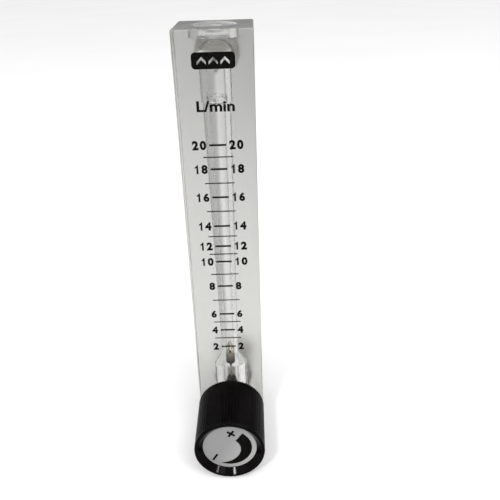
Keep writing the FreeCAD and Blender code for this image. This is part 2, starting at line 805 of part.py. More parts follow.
def panel_nut(label, height):
    body = new_body(label)
    sketch = new_sketch(body, label + "_hex_sketch", "XY_Plane")
    hexagon(sketch, "nut_corner")
    extrude(body, label + "_hex", sketch, "nut_thickness")
    revolve(body, label + "_bevel", [
        ("nut_bevel_radius", "nut_thickness"),
        ("nut_outside", "nut_bevel_height"),
        ("nut_outside", "nut_thickness"),
    ], removes=True)
    sketch = new_sketch(body, label + "_bore_sketch", "XY_Plane")
    circle(sketch, "nut_bore_radius")
    extrude(body, label + "_bore", sketch, "nut_thickness", removes=True, flip=True)
    put(body, forward=link("nut_y"), up=link(height), turn=TO_BACK)


for side, height in (("outlet", "outlet_height"), ("inlet", "valve_height")):
    hose_fitting(side + "_fitting", height)
    ring = flat_ring(side + "_seal", "port_seal_inner", "port_seal_outer", "seal_recess_depth")
    put(ring, forward=link("seal_recess_inset"), up=link(height), turn=TO_BACK)
    ring = flat_ring(side + "_washer", "washer_inner_radius", "washer_outer_radius",
                     "washer_thickness")
    put(ring, forward=link("fitting_washer_y"), up=link(height), turn=TO_BACK)
    panel_nut(side + "_nut", height)

doc.recompute()

# Every object must have built, and every piece must be one valid solid
for item in doc.Objects:
    if "Invalid" in item.State or "Error" in item.State:
        raise ValueError(item.Name + " has not built")
pieces = [item for item in doc.Objects if item.TypeId == "PartDesign::Body"]
for piece in pieces:
    if piece.Shape.isNull() or not piece.Shape.isValid():
        raise ValueError(piece.Label + " has no valid shape")
    if len(piece.Shape.Solids) != 1:
        raise ValueError(piece.Label + " is not one solid")

os.makedirs("parts", exist_ok=True)
for piece in pieces:
    piece.Shape.exportStep("parts/" + piece.Label + ".step")
    print(piece.Label, round(piece.Shape.Volume, 3))
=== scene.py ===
import math
import bmesh
import bpy
from mathutils import Matrix, Vector


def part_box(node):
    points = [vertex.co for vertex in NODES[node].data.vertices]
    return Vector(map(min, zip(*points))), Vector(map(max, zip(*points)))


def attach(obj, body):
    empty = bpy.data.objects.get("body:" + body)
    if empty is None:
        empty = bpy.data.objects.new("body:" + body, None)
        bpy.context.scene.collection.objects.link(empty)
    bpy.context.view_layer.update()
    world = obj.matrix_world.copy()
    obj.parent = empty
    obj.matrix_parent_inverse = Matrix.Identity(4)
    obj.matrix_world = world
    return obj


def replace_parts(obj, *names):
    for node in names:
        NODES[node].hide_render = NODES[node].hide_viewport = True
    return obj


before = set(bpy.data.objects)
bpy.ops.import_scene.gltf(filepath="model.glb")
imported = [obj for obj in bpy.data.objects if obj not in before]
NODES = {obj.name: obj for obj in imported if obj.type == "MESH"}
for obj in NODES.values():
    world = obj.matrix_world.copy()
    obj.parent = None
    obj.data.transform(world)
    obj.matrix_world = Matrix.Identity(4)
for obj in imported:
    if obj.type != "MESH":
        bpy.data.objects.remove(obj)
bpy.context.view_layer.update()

# Oxygen flowmeter, dressed for the render. Lengths are in metres, in the part's frame:
# origin at the centre of the block's bottom face, +Z up, front towards -Y.

MM = 0.001

# Places read from the fixed frame
BLOCK_LOW, BLOCK_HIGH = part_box("body_block")
KNOB_LOW, KNOB_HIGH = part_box("knob")
FRONT = BLOCK_LOW.y
TOP = BLOCK_HIGH.z
AXIS_HEIGHT = (KNOB_LOW.z + KNOB_HIGH.z) / 2
DISC_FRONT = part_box("knob_face_disc")[0].y

# Camera, fitted to the photograph, with the image taken as 500 by 500 pixels. Its place
# is measured from the middle of the block's top front edge, and its angles are radians.
IMAGE_SIDE = 500
FOCAL_PIXELS = 598.5
SENSOR = 36.0
CLIP_START = 0.01
CAMERA_FROM_TOP_FRONT = Vector((12.124, -187.064, 21.157)) * MM
CAMERA_TILT = 0.4680
CAMERA_PAN = 0.0151
CAMERA_ROLL = -0.0323

# Print on the block's front face. A tick is a width and a height, and its drop from the
# top, in millimetres, was read off the photograph.
INK = 0.03 * MM
PRINT_GAP = 0.02 * MM
TICK_DROPS = {
    20: 35.3, 19: 39.3, 18: 43.4, 17: 48.3, 16: 53.3, 15: 58.4, 14: 63.9, 13: 67.8, 12: 71.6,
    11: 74.7, 10: 77.7, 9: 82.8, 8: 87.7, 7: 93.6, 6: 99.6, 5: 103.1, 4: 106.7, 3: 110.3,
    2: 114.2,
}
BOLD_TICK = (5.5 * MM, 0.65 * MM)
THIN_TICK = (9.8 * MM, 0.38 * MM)
DIGIT_HEIGHT = 3.1 * MM
DIGIT_STRETCH = 0.98
DIGIT_WEIGHT = 0.055
DIGIT_GAP = 0.75 * MM
DIGIT_CELL = 2.5 * MM
UNIT_DROP = 22.8 * MM
UNIT_HEIGHT = 3.5 * MM
UNIT_WIDTH = 12.0 * MM
UNIT_WEIGHT = 0.03
CURVE_STEPS = 6
GLYPH_HALF = 0.01

# The figure 1 with its flag, one unit high, and how far it stands left in its cell
FIGURE_ONE = [
    (0.36, 0.0), (0.36, 1.0), (0.25, 1.0), (0.19, 0.90), (0.10, 0.82), (0.0, 0.77),
    (0.0, 0.59), (0.09, 0.63), (0.165, 0.69), (0.165, 0.0),
]
ONE_SHIFT = -0.12 * MM

# Generic flow mark above the scale: a dark bar with light chevrons that point up
MARK_DROP = 9.0 * MM
MARK_SIZE = (13.4 * MM, 5.0 * MM)
MARK_CORNER = 1.2 * MM
CHEVRON_COUNT = 3
CHEVRON_PITCH = 3.6 * MM
CHEVRON_SPAN = 2.8 * MM
CHEVRON_RISE = 1.4 * MM
CHEVRON_STROKE = 0.95 * MM

# Print on the knob's disc, turned with the knob. A place is an angle and a radius.
PLUS_PLACE = (math.radians(84), 6.5 * MM)
PLUS_TURN = math.radians(-35)
MINUS_PLACE = (math.radians(220), 7.2 * MM)
MINUS_TURN = math.radians(58)
DISC_SIGN_ARM = 3.3 * MM
DISC_SIGN_STROKE = 0.8 * MM
CRESCENT_RADIUS = 8.1 * MM
CRESCENT_THICK = 4.3 * MM
CRESCENT_TAPER = 2.7
CRESCENT_START = math.radians(54)
CRESCENT_END = math.radians(-114)
CRESCENT_STEPS = 60

# The block's bores, measured as in the solid. Threads are sealed, so that what is screwed
# in sits in the acrylic without a layer of air.
TURNED_SEGMENTS = 128
BLOCK_BEVEL = 0.4 * MM
BEVEL_SEGMENTS = 3
BACK_GAP = 0.03 * MM
CUT_OVER = 1.0 * MM
SHARP_ANGLE = math.radians(24)
RECESS_RADIUS = 7.6 * MM
RECESS_DEPTH = 3.6 * MM
PLUG_DEPTH = 8.0 * MM
PLUG_HEAD_RADIUS = 7.3 * MM
PLUG_HEAD_BEVEL = 0.3 * MM
PLUG_HEAD_THICK = 2.4 * MM
PLUG_INSET = 0.3 * MM
SOCKET_SIDES = 6
SOCKET_ACROSS = 5.0 * MM
SOCKET_DEPTH = 2.0 * MM
CHAMBER_RADIUS = 6.0 * MM
FLARE_LOW = 28.0 * MM
FLARE_HIGH = 33.0 * MM
TAPER_LOW_RADIUS = 3.0 * MM
TAPER_HIGH_RADIUS = 4.5 * MM
UPPER_CHAMBER_RADIUS = 5.0 * MM
UPPER_CHAMBER_LENGTH = 15.5 * MM
PORT_DEPTH = 4.5 * MM
PASSAGE_RADIUS = 2.0 * MM
OUTLET_DROP = 11.0 * MM

# Acrylic: its colour in depth, how strongly it bends light, and how rough each kind of
# the block's surfaces is. The upper stop hardly bends light, because it hardly shows.
ABSORBED = (0.14, 0.14, 0.05, 1)
ABSORPTION = 14.0
ACRYLIC_INDEX = 1.49
STOP_INDEX = 1.06
FINISH = "finish"
POLISHED = 0.004
BORED = 0.17
THREADED = 0.2
SAWN = 0.12
SATIN = 0.4
CLOUDED = 0.2
NEAR_CHAMBER = CHAMBER_RADIUS * 1.05
NEAR_RECESS = RECESS_DEPTH * 1.1

# Darkest and lightest shade of each material. Between them the colour follows the grain
# over its middle, or another measure over the whole of its span.
GRAIN_SPAN = (0.35, 0.65)
WHOLE_SPAN = (0.0, 1.0)
PLASTIC_SHADES = ((0.0015, 0.0012, 0.0012), (0.0030, 0.0024, 0.0024))
INK_SHADES = ((0.002, 0.002, 0.002), (0.006, 0.006, 0.005))
RUBBER_SHADES = ((0.56, 0.56, 0.54), (0.62, 0.62, 0.60))
DISC_SHADES = ((0.34, 0.34, 0.345), (0.62, 0.62, 0.61))
FLOAT_SHADES = ((0.05, 0.045, 0.035), (0.48, 0.46, 0.40))
STEEL_SHADES = ((0.20, 0.19, 0.16), (0.30, 0.29, 0.25))
STOP_SHADES = ((0.42, 0.41, 0.33), (0.52, 0.51, 0.42))
VALVE_SHADES = ((0.02, 0.018, 0.018), (0.05, 0.045, 0.045))
# Plating in and against the block, then outside; the lighter shade is partly the cement and
# partly painted light
PLATING_IN_AND_OUT = ((0.87, 0.86, 0.84), (0.50, 0.49, 0.47))
FLOOR_SHADES = ((0.93, 0.93, 0.93), (0.95, 0.95, 0.95))

# Smoothest and roughest place of each material
PLUG_ROUGHNESS = (0.06, 0.18)
CLEAR_STOP_ROUGHNESS = (0.018, 0.054)
PLASTIC_ROUGHNESS = (0.08, 0.13)
INK_ROUGHNESS = (0.45, 0.6)
RUBBER_ROUGHNESS = (0.5, 0.7)
DISC_ROUGHNESS = (0.32, 0.5)
FLOAT_ROUGHNESS = (0.08, 0.16)
STEEL_ROUGHNESS = (0.128, 0.2)
STOP_ROUGHNESS = (0.16, 0.25)
VALVE_ROUGHNESS = (0.112, 0.175)
PLATING_ROUGHNESS = (0.18, 0.34)

# Grain of the surfaces: waves per metre, detail and, where it is turned, the stretch
ACRYLIC_HAZE = (60, 3)
ACRYLIC_WAVES = (90, 2)
PLASTIC_BLOOM = (70, 3)
PLASTIC_GRAIN = (900, 5)
RUBBER_GRAIN = (700, 4)
INK_GRAIN = (1500, 3)
METAL_GRAIN = (400, 5)
TURNED_GRAIN = (500, 5, (1, 1, 14))
FLOOR_CLOUDS = (4, 2)

# Relief of the grain: strength and height
ACRYLIC_RELIEF = (0.04, 0.05 * MM)
PLASTIC_RELIEF = (0.05, 0.02 * MM)
METAL_RELIEF = (0.05, 0.03 * MM)
RUBBER_RELIEF = (0.1, 0.03 * MM)

# How strongly the dull materials reflect, as the shader's specular level
PLASTIC_SPECULAR = 0.05
INK_SPECULAR = 0.02
RUBBER_SPECULAR = 0.35
FLOOR_SPECULAR = 0.1
PLASTIC_INDEX = 1.5
FLOOR_ROUGHNESS = 0.95

# How metallic the disc is, and the plating inside and outside the acrylic
DISC_METALLIC = 0.5
PLATING_METALLIC = (0.15, 0.9)

# Painted light: the disc lightens to its lower right. Painted shade and highlight: the float
# darkens down to its foot and is light at its top.
DISC_PAINTED_LIGHT_SLOPE = (90, 0, -60)
DISC_SPREAD = (-1.0, 1.0)
FLOAT_PAINTED_SHADE_SPAN = (0.25, 0.75)

# The floor's half side. Through the acrylic it brightens, per metre, to the right and to the
# front, between two levels, as painted shade on what is seen through the block. Reflections
# see it dim.
FLOOR_HALF = 6.0
FLOOR_PAINTED_SHADE_SLOPE = (8, -1.5, 0)
FLOOR_SPREAD = (-0.9, 0.5)
FLOOR_LEVELS = (0.60, 0.95)
REFLECTED_FLOOR = (0.45, 0.45, 0.45, 1)

# Through the acrylic, the floor and the surroundings fall to one level at either side, as
# painted shade on the block's sides
ASIDE_PAINTED_SHADE_LEVEL = 0.68
FLOOR_ASIDE = (0.035, 0.10)
WORLD_ASIDE = (0.4, 0.9)

# The surroundings, and the room that reflections see, dim at the horizon, bright overhead
WORLD_LEVEL = 0.92
ROOM_SHADES = ((0.31, 0.31, 0.31), (0.90, 0.90, 0.91))
ROOM_RISE = (0.03, 0.6)

# Lamps: place, aim, size and power. The two small ones draw the glints on the knob's rim.
BLOCK_AIM = (0, 0, 0.07)
KNOB_AIM = (0, -0.038, 0.003)
SOFTBOX = (0.8, 0.8)
LAMPS = {
    "key_softbox": ((0.6, -0.7, 1.3), BLOCK_AIM, SOFTBOX, 6),
    "fill_softbox": ((-0.9, -0.6, 0.9), BLOCK_AIM, SOFTBOX, 1.5),
    "glint_lamp": ((-0.232, -0.659, 0.745), KNOB_AIM, (0.09, 0.04), 2.6),
    "second_glint_lamp": ((0.559, -0.625, 0.583), KNOB_AIM, (0.13, 0.04), 1.2),
}


# Shader helpers

def set_inputs(node, values):
    for name, value in values.items():
        node.inputs[name].default_value = value


def new_material(name, values):
    mat = bpy.data.materials.new(name)
    mat.use_nodes = True
    shader = mat.node_tree.nodes["Principled BSDF"]
    set_inputs(shader, values)
    return mat, mat.node_tree, shader


def grain(tree, scale, detail, stretch=(1, 1, 1)):
    coords = tree.nodes.new("ShaderNodeTexCoord")
    mapping = tree.nodes.new("ShaderNodeMapping")
    noise = tree.nodes.new("ShaderNodeTexNoise")
    set_inputs(mapping, {"Scale": stretch})
    set_inputs(noise, {"Scale": scale, "Detail": detail})
    tree.links.new(coords.outputs["Object"], mapping.inputs["Vector"])
    tree.links.new(mapping.outputs["Vector"], noise.inputs["Vector"])
    return noise.outputs["Fac"]


def ramp(tree, source, shades, span):
    """A colour from one shade to the other, as the source crosses a span of 0 to 1."""
    node = tree.nodes.new("ShaderNodeValToRGB")
    for element, place, shade in zip(node.color_ramp.elements, span, shades):
        element.position = place
        element.color = (*shade, 1)
    tree.links.new(source, node.inputs["Fac"])
    return node.outputs["Color"]


def spread(tree, source, low, high, start=0.0, end=1.0):
    """A value that goes from low to high while the source goes from start to end."""
    node = tree.nodes.new("ShaderNodeMapRange")
    set_inputs(node, {"From Min": start, "From Max": end, "To Min": low, "To Max": high})
    tree.links.new(source, node.inputs["Value"])
    return node.outputs["Result"]


def calculate(tree, operation, first, second=None, clamp=False):
    """A math node between sources, of which the second may be a number or left out."""
    node = tree.nodes.new("ShaderNodeMath")
    node.operation = operation
    node.use_clamp = clamp
    tree.links.new(first, node.inputs[0])
    if isinstance(second, float):
        node.inputs[1].default_value = second
    elif second is not None:
        tree.links.new(second, node.inputs[1])
    return node.outputs["Value"]


def one_axis(tree, vector, axis):
    node = tree.nodes.new("ShaderNodeSeparateXYZ")
    tree.links.new(vector, node.inputs["Vector"])
    return node.outputs[axis]


def seen_place(tree):
    return tree.nodes.new("ShaderNodeNewGeometry").outputs["Position"]


def along_slope(tree, slope):
    """How far the place lies along a slope: the dot product of the two."""
    node = tree.nodes.new("ShaderNodeVectorMath")
    node.operation = "DOT_PRODUCT"
    node.inputs[1].default_value = slope
    tree.links.new(seen_place(tree), node.inputs[0])
    return node.outputs["Value"]


def bump(tree, shader, source, strength, distance):
    node = tree.nodes.new("ShaderNodeBump")
    set_inputs(node, {"Strength": strength, "Distance": distance})
    tree.links.new(source, node.inputs["Height"])
    tree.links.new(node.outputs["Normal"], shader.inputs["Normal"])


def colour(tree, shader, source, shades, span=GRAIN_SPAN):
    tree.links.new(ramp(tree, source, shades, span), shader.inputs["Base Color"])


def roughen(tree, shader, source, roughness):
    tree.links.new(spread(tree, source, *roughness), shader.inputs["Roughness"])


def mix_shaders(tree, factor, first, second):
    mix = tree.nodes.new("ShaderNodeMixShader")
    for source, socket in zip((factor, first, second), mix.inputs):
        tree.links.new(source, socket)
    return mix.outputs["Shader"]


# Materials

def clear_acrylic(name, index, roughness=None):
    """Clear acrylic, as rough all over as given, or as the mesh's finish attribute says."""
    mat, tree, shader = new_material(name, {
        "Base Color": (1, 1, 1, 1),
        "Transmission Weight": 1.0,
        "IOR": index,
    })
    if roughness is None:
        finish = tree.nodes.new("ShaderNodeAttribute")
        finish.attribute_name = FINISH
        tree.links.new(finish.outputs["Fac"], shader.inputs["Roughness"])
    else:
        roughen(tree, shader, grain(tree, *ACRYLIC_HAZE), roughness)
    bump(tree, shader, grain(tree, *ACRYLIC_WAVES), *ACRYLIC_RELIEF)
    volume = tree.nodes.new("ShaderNodeVolumeAbsorption")
    set_inputs(volume, {"Color": ABSORBED, "Density": ABSORPTION})
    tree.links.new(volume.outputs["Volume"], tree.nodes["Material Output"].inputs["Volume"])
    return mat


def black_plastic():
    mat, tree, shader = new_material("black_moulded_plastic", {
        "IOR": PLASTIC_INDEX,
        "Specular IOR Level": PLASTIC_SPECULAR,
    })
    bloom = grain(tree, *PLASTIC_BLOOM)
    colour(tree, shader, bloom, PLASTIC_SHADES)
    roughen(tree, shader, bloom, PLASTIC_ROUGHNESS)
    bump(tree, shader, grain(tree, *PLASTIC_GRAIN), *PLASTIC_RELIEF)
    return mat


def worked_metal(tree, shader, marks, roughness):
    """Roughness and relief from the marks of the work, which are handed back."""
    lines = grain(tree, *marks)
    roughen(tree, shader, lines, roughness)
    bump(tree, shader, lines, *METAL_RELIEF)
    return lines


def metal(name, shades, roughness, marks):
    mat, tree, shader = new_material(name, {"Metallic": 1.0})
    colour(tree, shader, worked_metal(tree, shader, marks, roughness), shades)
    return mat


def disc_metal():
    """Satin aluminium with painted light, a little lighter towards the lower right."""
    mat, tree, shader = new_material("satin_aluminium", {"Metallic": DISC_METALLIC})
    # Painted light, by place in the world: lighter towards the lower right
    along = spread(tree, along_slope(tree, DISC_PAINTED_LIGHT_SLOPE), *WHOLE_SPAN, *DISC_SPREAD)
    colour(tree, shader, along, DISC_SHADES, WHOLE_SPAN)
    worked_metal(tree, shader, METAL_GRAIN, DISC_ROUGHNESS)
    return mat


def float_metal():
    """Turned steel with painted shade and highlight: dark down at the foot, where it faces the
    dark valve, and light at the top.
    """
    mat, tree, shader = new_material("float_steel", {"Metallic": 1.0})
    coords = tree.nodes.new("ShaderNodeTexCoord")
    # Painted shade towards the float's foot and painted highlight towards its top, by height
    # on the float
    height = one_axis(tree, coords.outputs["Generated"], "Z")
    colour(tree, shader, height, FLOAT_SHADES, FLOAT_PAINTED_SHADE_SPAN)
    worked_metal(tree, shader, TURNED_GRAIN, FLOAT_ROUGHNESS)
    return mat


def plated_metal():
    """Satin plating outside. In and against the block it is lighter and duller: partly the
    thread clouded by the cement around it, partly painted light that lifts the shade there.
    """
    mat, tree, shader = new_material("nickel_plate", {})
    # In and against the block the plating is lighter and less metallic, partly for the cement
    # and partly as painted light
    outside = calculate(tree, "GREATER_THAN", one_axis(tree, seen_place(tree), "Y"),
                        BLOCK_HIGH.y + BACK_GAP)
    colour(tree, shader, outside, PLATING_IN_AND_OUT, WHOLE_SPAN)
    tree.links.new(spread(tree, outside, *PLATING_METALLIC), shader.inputs["Metallic"])
    worked_metal(tree, shader, METAL_GRAIN, PLATING_ROUGHNESS)
    return mat


def rubber():
    mat, tree, shader = new_material("seal_rubber", {"Specular IOR Level": RUBBER_SPECULAR})
    fine = grain(tree, *RUBBER_GRAIN)
    colour(tree, shader, fine, RUBBER_SHADES)
    roughen(tree, shader, fine, RUBBER_ROUGHNESS)
    bump(tree, shader, fine, *RUBBER_RELIEF)
    return mat


def ink():
    mat, tree, shader = new_material("black_print", {"Specular IOR Level": INK_SPECULAR})
    fine = grain(tree, *INK_GRAIN)
    colour(tree, shader, fine, INK_SHADES)
    roughen(tree, shader, fine, INK_ROUGHNESS)
    return mat


INK_BLACK = ink()
PLASTIC = black_plastic()
BLOCK_ACRYLIC = clear_acrylic("block_acrylic", ACRYLIC_INDEX)
PLUG_ACRYLIC = clear_acrylic("plug_acrylic", ACRYLIC_INDEX, PLUG_ROUGHNESS)
STOP_ACRYLIC = clear_acrylic("stop_acrylic", STOP_INDEX, CLEAR_STOP_ROUGHNESS)
DISC_METAL = disc_metal()
STEEL = metal("turned_steel", STEEL_SHADES, STEEL_ROUGHNESS, TURNED_GRAIN)
FLOAT_STEEL = float_metal()
STOP_STEEL = metal("stop_steel", STOP_SHADES, STOP_ROUGHNESS, TURNED_GRAIN)
PLATED = plated_metal()
DARK_METAL = metal("dark_valve_metal", VALVE_SHADES, VALVE_ROUGHNESS, METAL_GRAIN)
SEAL = rubber()


def dress(names, mat):
    for name in names:
        obj = NODES[name]
        obj.data.materials.clear()
        obj.data.materials.append(mat)


dress(["body_block"], BLOCK_ACRYLIC)
dress(["upper_float_stop"], STOP_ACRYLIC)
dress(["knob"], PLASTIC)
dress(["knob_face_disc"], DISC_METAL)
dress(["float"], FLOAT_STEEL)
dress(["lower_float_stop"], STOP_STEEL)
dress(["spindle", "knob_set_screw"], STEEL)
dress(["valve_body"], DARK_METAL)
dress(["outlet_fitting", "outlet_washer", "outlet_nut", "inlet_fitting",
       "inlet_washer", "inlet_nut"], PLATED)
dress(["top_plug_seal", "bottom_plug_seal", "valve_body_seal", "outlet_seal", "inlet_seal",
       "spindle_seal"], SEAL)


# Mesh helpers

def mesh_from(bm, name):
    mesh = bpy.data.meshes.new(name)
    bm.to_mesh(mesh)
    bm.free()
    return mesh


def add_object(name, data):
    obj = bpy.data.objects.new(name, data)
    bpy.context.scene.collection.objects.link(obj)
    return obj


def add_piece(name, mesh, mat, body):
    obj = add_object(name, mesh)
    obj.data.materials.clear()
    obj.data.materials.append(mat)
    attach(obj, body)
    return obj


def close_slab(bm, near, far):
    """The faces of a slab between two rings of vertices."""
    bm.faces.new(near)
    bm.faces.new(list(reversed(far)))
    for i in range(len(near)):
        j = (i + 1) % len(near)
        bm.faces.new((near[j], near[i], far[i], far[j]))


def plate_mesh(name, outlines, front, thick):
    """Thin solids from closed outlines of (x, z) points, their faces towards -Y."""
    bm = bmesh.new()
    for points in outlines:
        near = [bm.verts.new((x, front, z)) for x, z in points]
        far = [bm.verts.new((x, front + thick, z)) for x, z in points]
        close_slab(bm, near, far)
    bmesh.ops.recalc_face_normals(bm, faces=bm.faces)
    return mesh_from(bm, name)


def turned_mesh(name, profile, axis="Z", height=0.0):
    """A closed solid turned about Z, or about Y at a height, from (radius, place) points."""
    bm = bmesh.new()
    rings = []
    for radius, place in profile:
        ring = []
        for i in range(TURNED_SEGMENTS):
            angle = 2 * math.pi * i / TURNED_SEGMENTS
            a = radius * math.cos(angle)
            b = radius * math.sin(angle)
            ring.append(bm.verts.new((a, b, place) if axis == "Z" else (a, place, height + b)))
        rings.append(ring)
    for low, high in zip(rings, rings[1:]):
        for i in range(TURNED_SEGMENTS):
            j = (i + 1) % TURNED_SEGMENTS
            bm.faces.new((low[i], low[j], high[j], high[i]))
    bm.faces.new(rings[0])
    bm.faces.new(rings[-1])
    bmesh.ops.recalc_face_normals(bm, faces=bm.faces)
    return mesh_from(bm, name)


def cut_mesh(base, cutters):
    """The base mesh with each cutter's volume taken away."""
    body = add_object("cut_base", base)
    tools = []
    for mesh in cutters:
        tool = add_object("cutter", mesh)
        tools.append(tool)
        modifier = body.modifiers.new("cut", "BOOLEAN")
        modifier.solver = "EXACT"
        modifier.operation = "DIFFERENCE"
        modifier.object = tool
    bpy.context.view_layer.update()
    depsgraph = bpy.context.evaluated_depsgraph_get()
    result = bpy.data.meshes.new_from_object(body.evaluated_get(depsgraph))
    for obj in [body] + tools:
        bpy.data.objects.remove(obj)
    return result


def smooth_with_sharp_edges(mesh):
    mesh.shade_smooth()
    mesh.set_sharp_from_angle(angle=SHARP_ANGLE)


# Print on the block's front

def rectangle(x, z, width, height):
    w = width / 2
    h = height / 2
    return [(x - w, z - h), (x + w, z - h), (x + w, z + h), (x - w, z + h)]


def glyph_outline(text, weight):
    """A text's thin mesh and the box of its ink, at the font's own size."""
    curve = bpy.data.curves.new("glyph", "FONT")
    curve.body = text
    curve.size = 1.0
    curve.offset = weight
    curve.resolution_u = CURVE_STEPS
    curve.extrude = GLYPH_HALF
    obj = bpy.data.objects.new("glyph", curve)
    mesh = bpy.data.meshes.new_from_object(obj)
    bpy.data.objects.remove(obj)
    bpy.data.curves.remove(curve)
    xs = [v.co.x for v in mesh.vertices]
    ys = [v.co.y for v in mesh.vertices]
    return mesh, (min(xs), max(xs), min(ys), max(ys))


def figure_one():
    """The figure 1 as a thin mesh and the box of its ink."""
    bm = bmesh.new()
    near = [bm.verts.new((x, y, GLYPH_HALF)) for x, y in FIGURE_ONE]
    far = [bm.verts.new((x, y, -GLYPH_HALF)) for x, y in FIGURE_ONE]
    close_slab(bm, near, far)
    xs = [x for x, y in FIGURE_ONE]
    return mesh_from(bm, "one"), (min(xs), max(xs), 0.0, 1.0)


def lay_on_front(mesh, box, left, base, width, height):
    """Move a glyph from its own plane onto the block's front face."""
    x0, x1, y0, y1 = box
    for v in mesh.vertices:
        depth = -PRINT_GAP - INK if v.co.z > 0 else -PRINT_GAP
        v.co = (left + (v.co.x - x0) * width / (x1 - x0), FRONT + depth,
                base + (v.co.y - y0) * height / (y1 - y0))


def place_number(name, number, base, left=None, right=None):
    """A number on the front face, standing on base, from left or up to right."""
    digits = str(number)
    start = left if left is not None else right - DIGIT_CELL * len(digits)
    bm = bmesh.new()
    for i, digit in enumerate(digits):
        middle = start + DIGIT_CELL * (i + 0.5)
        if digit == "1":
            mesh, box = figure_one()
            middle += ONE_SHIFT
        else:
            mesh, box = glyph_outline(digit, DIGIT_WEIGHT)
        wide = (box[1] - box[0]) / (box[3] - box[2]) * DIGIT_HEIGHT * DIGIT_STRETCH
        lay_on_front(mesh, box, middle - wide / 2, base, wide, DIGIT_HEIGHT)
        bm.from_mesh(mesh)
    add_piece(name, mesh_from(bm, name), INK_BLACK, "block")


def place_unit():
    mesh, box = glyph_outline("L/min", UNIT_WEIGHT)
    lay_on_front(mesh, box, -UNIT_WIDTH / 2, TOP - UNIT_DROP - UNIT_HEIGHT / 2, UNIT_WIDTH,
                 UNIT_HEIGHT)
    mesh.name = "scale_unit"
    add_piece("scale_unit", mesh, INK_BLACK, "block")


def scale_print():
    bold = []
    thin = []
    for number, drop in TICK_DROPS.items():
        z = TOP - drop * MM
        if number % 2:
            thin.append(rectangle(0, z, *THIN_TICK))
            continue
        bold.append(rectangle(0, z, *BOLD_TICK))
        edge = BOLD_TICK[0] / 2 + DIGIT_GAP
        base = z - DIGIT_HEIGHT / 2
        place_number("numeral_left_%d" % number, number, base, right=-edge)
        place_number("numeral_right_%d" % number, number, base, left=edge)
    front = FRONT - PRINT_GAP - INK
    for name, ticks in (("scale_even_marks", bold), ("scale_odd_marks", thin)):
        add_piece(name, plate_mesh(name, ticks, front, INK), INK_BLACK, "block")
    place_unit()


def arc_points(x, z, radius, start, end, steps):
    angles = [start + (end - start) * i / steps for i in range(steps + 1)]
    return [(x + radius * math.cos(a), z + radius * math.sin(a)) for a in angles]


def rounded_bar(z, width, height, corner):
    points = []
    for sx, sz, start in ((1, 1, 0), (-1, 1, 90), (-1, -1, 180), (1, -1, 270)):
        points += arc_points(sx * (width / 2 - corner), z + sz * (height / 2 - corner), corner,
                             math.radians(start), math.radians(start + 90), CURVE_STEPS)
    return points


def chevron(x, z):
    half = CHEVRON_SPAN / 2
    low = z - (CHEVRON_RISE + CHEVRON_STROKE) / 2
    return [(x - half, low), (x, low + CHEVRON_RISE), (x + half, low),
            (x + half, low + CHEVRON_STROKE), (x, low + CHEVRON_RISE + CHEVRON_STROKE),
            (x - half, low + CHEVRON_STROKE)]


def flow_mark():
    z = TOP - MARK_DROP
    front = FRONT - PRINT_GAP - INK
    bar = plate_mesh("bar", [rounded_bar(z, *MARK_SIZE, MARK_CORNER)], front, INK)
    first = -CHEVRON_PITCH * (CHEVRON_COUNT - 1) / 2
    signs = [chevron(first + CHEVRON_PITCH * i, z) for i in range(CHEVRON_COUNT)]
    mesh = cut_mesh(bar, [plate_mesh("signs", signs, front - INK, INK * 3)])
    mesh.name = "flow_mark"
    add_piece("flow_mark", mesh, INK_BLACK, "block")


# Print on the knob's disc

def on_disc(angle, radius):
    return radius * math.cos(angle), AXIS_HEIGHT + radius * math.sin(angle)


def bar_at(x, z, length, thick, angle):
    turn = Matrix.Rotation(angle, 2)
    corners = [Vector((sx * length / 2, sz * thick / 2))
               for sx, sz in ((-1, -1), (1, -1), (1, 1), (-1, 1))]
    return [(x + (turn @ c).x, z + (turn @ c).y) for c in corners]


def crescent():
    """A wedge round the disc that thins to a point, kept as thick as the ink there."""
    outer = []
    inner = []
    for i in range(CRESCENT_STEPS + 1):
        part = i / CRESCENT_STEPS
        angle = CRESCENT_START + (CRESCENT_END - CRESCENT_START) * part
        thick = CRESCENT_THICK * (1 - part ** CRESCENT_TAPER) + INK
        outer.append(on_disc(angle, CRESCENT_RADIUS))
        inner.append(on_disc(angle, CRESCENT_RADIUS - thick))
    return outer + inner[::-1]


def knob_print():
    front = DISC_FRONT - PRINT_GAP - INK
    stroke = (DISC_SIGN_ARM, DISC_SIGN_STROKE)
    plus = on_disc(*PLUS_PLACE)
    minus = on_disc(*MINUS_PLACE)
    pieces = {
        "disc_plus_across": bar_at(*plus, *stroke, PLUS_TURN),
        "disc_plus_along": bar_at(*plus, *stroke, PLUS_TURN + math.pi / 2),
        "disc_minus": bar_at(*minus, *stroke, MINUS_TURN),
        "disc_crescent": crescent(),
    }
    for name, outline in pieces.items():
        add_piece(name, plate_mesh(name, [outline], front, INK), INK_BLACK,
                  "knob_and_spindle")


# The clear block and its plugs

def block_shell():
    bm = bmesh.new()
    bmesh.ops.create_cube(bm, size=1.0)
    # The back stands a hair off the fittings' flanges, so that light reaches them
    high = BLOCK_HIGH - Vector((0, BACK_GAP, 0))
    size = high - BLOCK_LOW
    middle = (high + BLOCK_LOW) / 2
    for v in bm.verts:
        v.co = Vector((v.co.x * size.x, v.co.y * size.y, v.co.z * size.z)) + middle
    bmesh.ops.bevel(bm, geom=bm.edges[:], offset=BLOCK_BEVEL, segments=BEVEL_SEGMENTS,
                    profile=0.5, affect="EDGES")
    return mesh_from(bm, "shell")


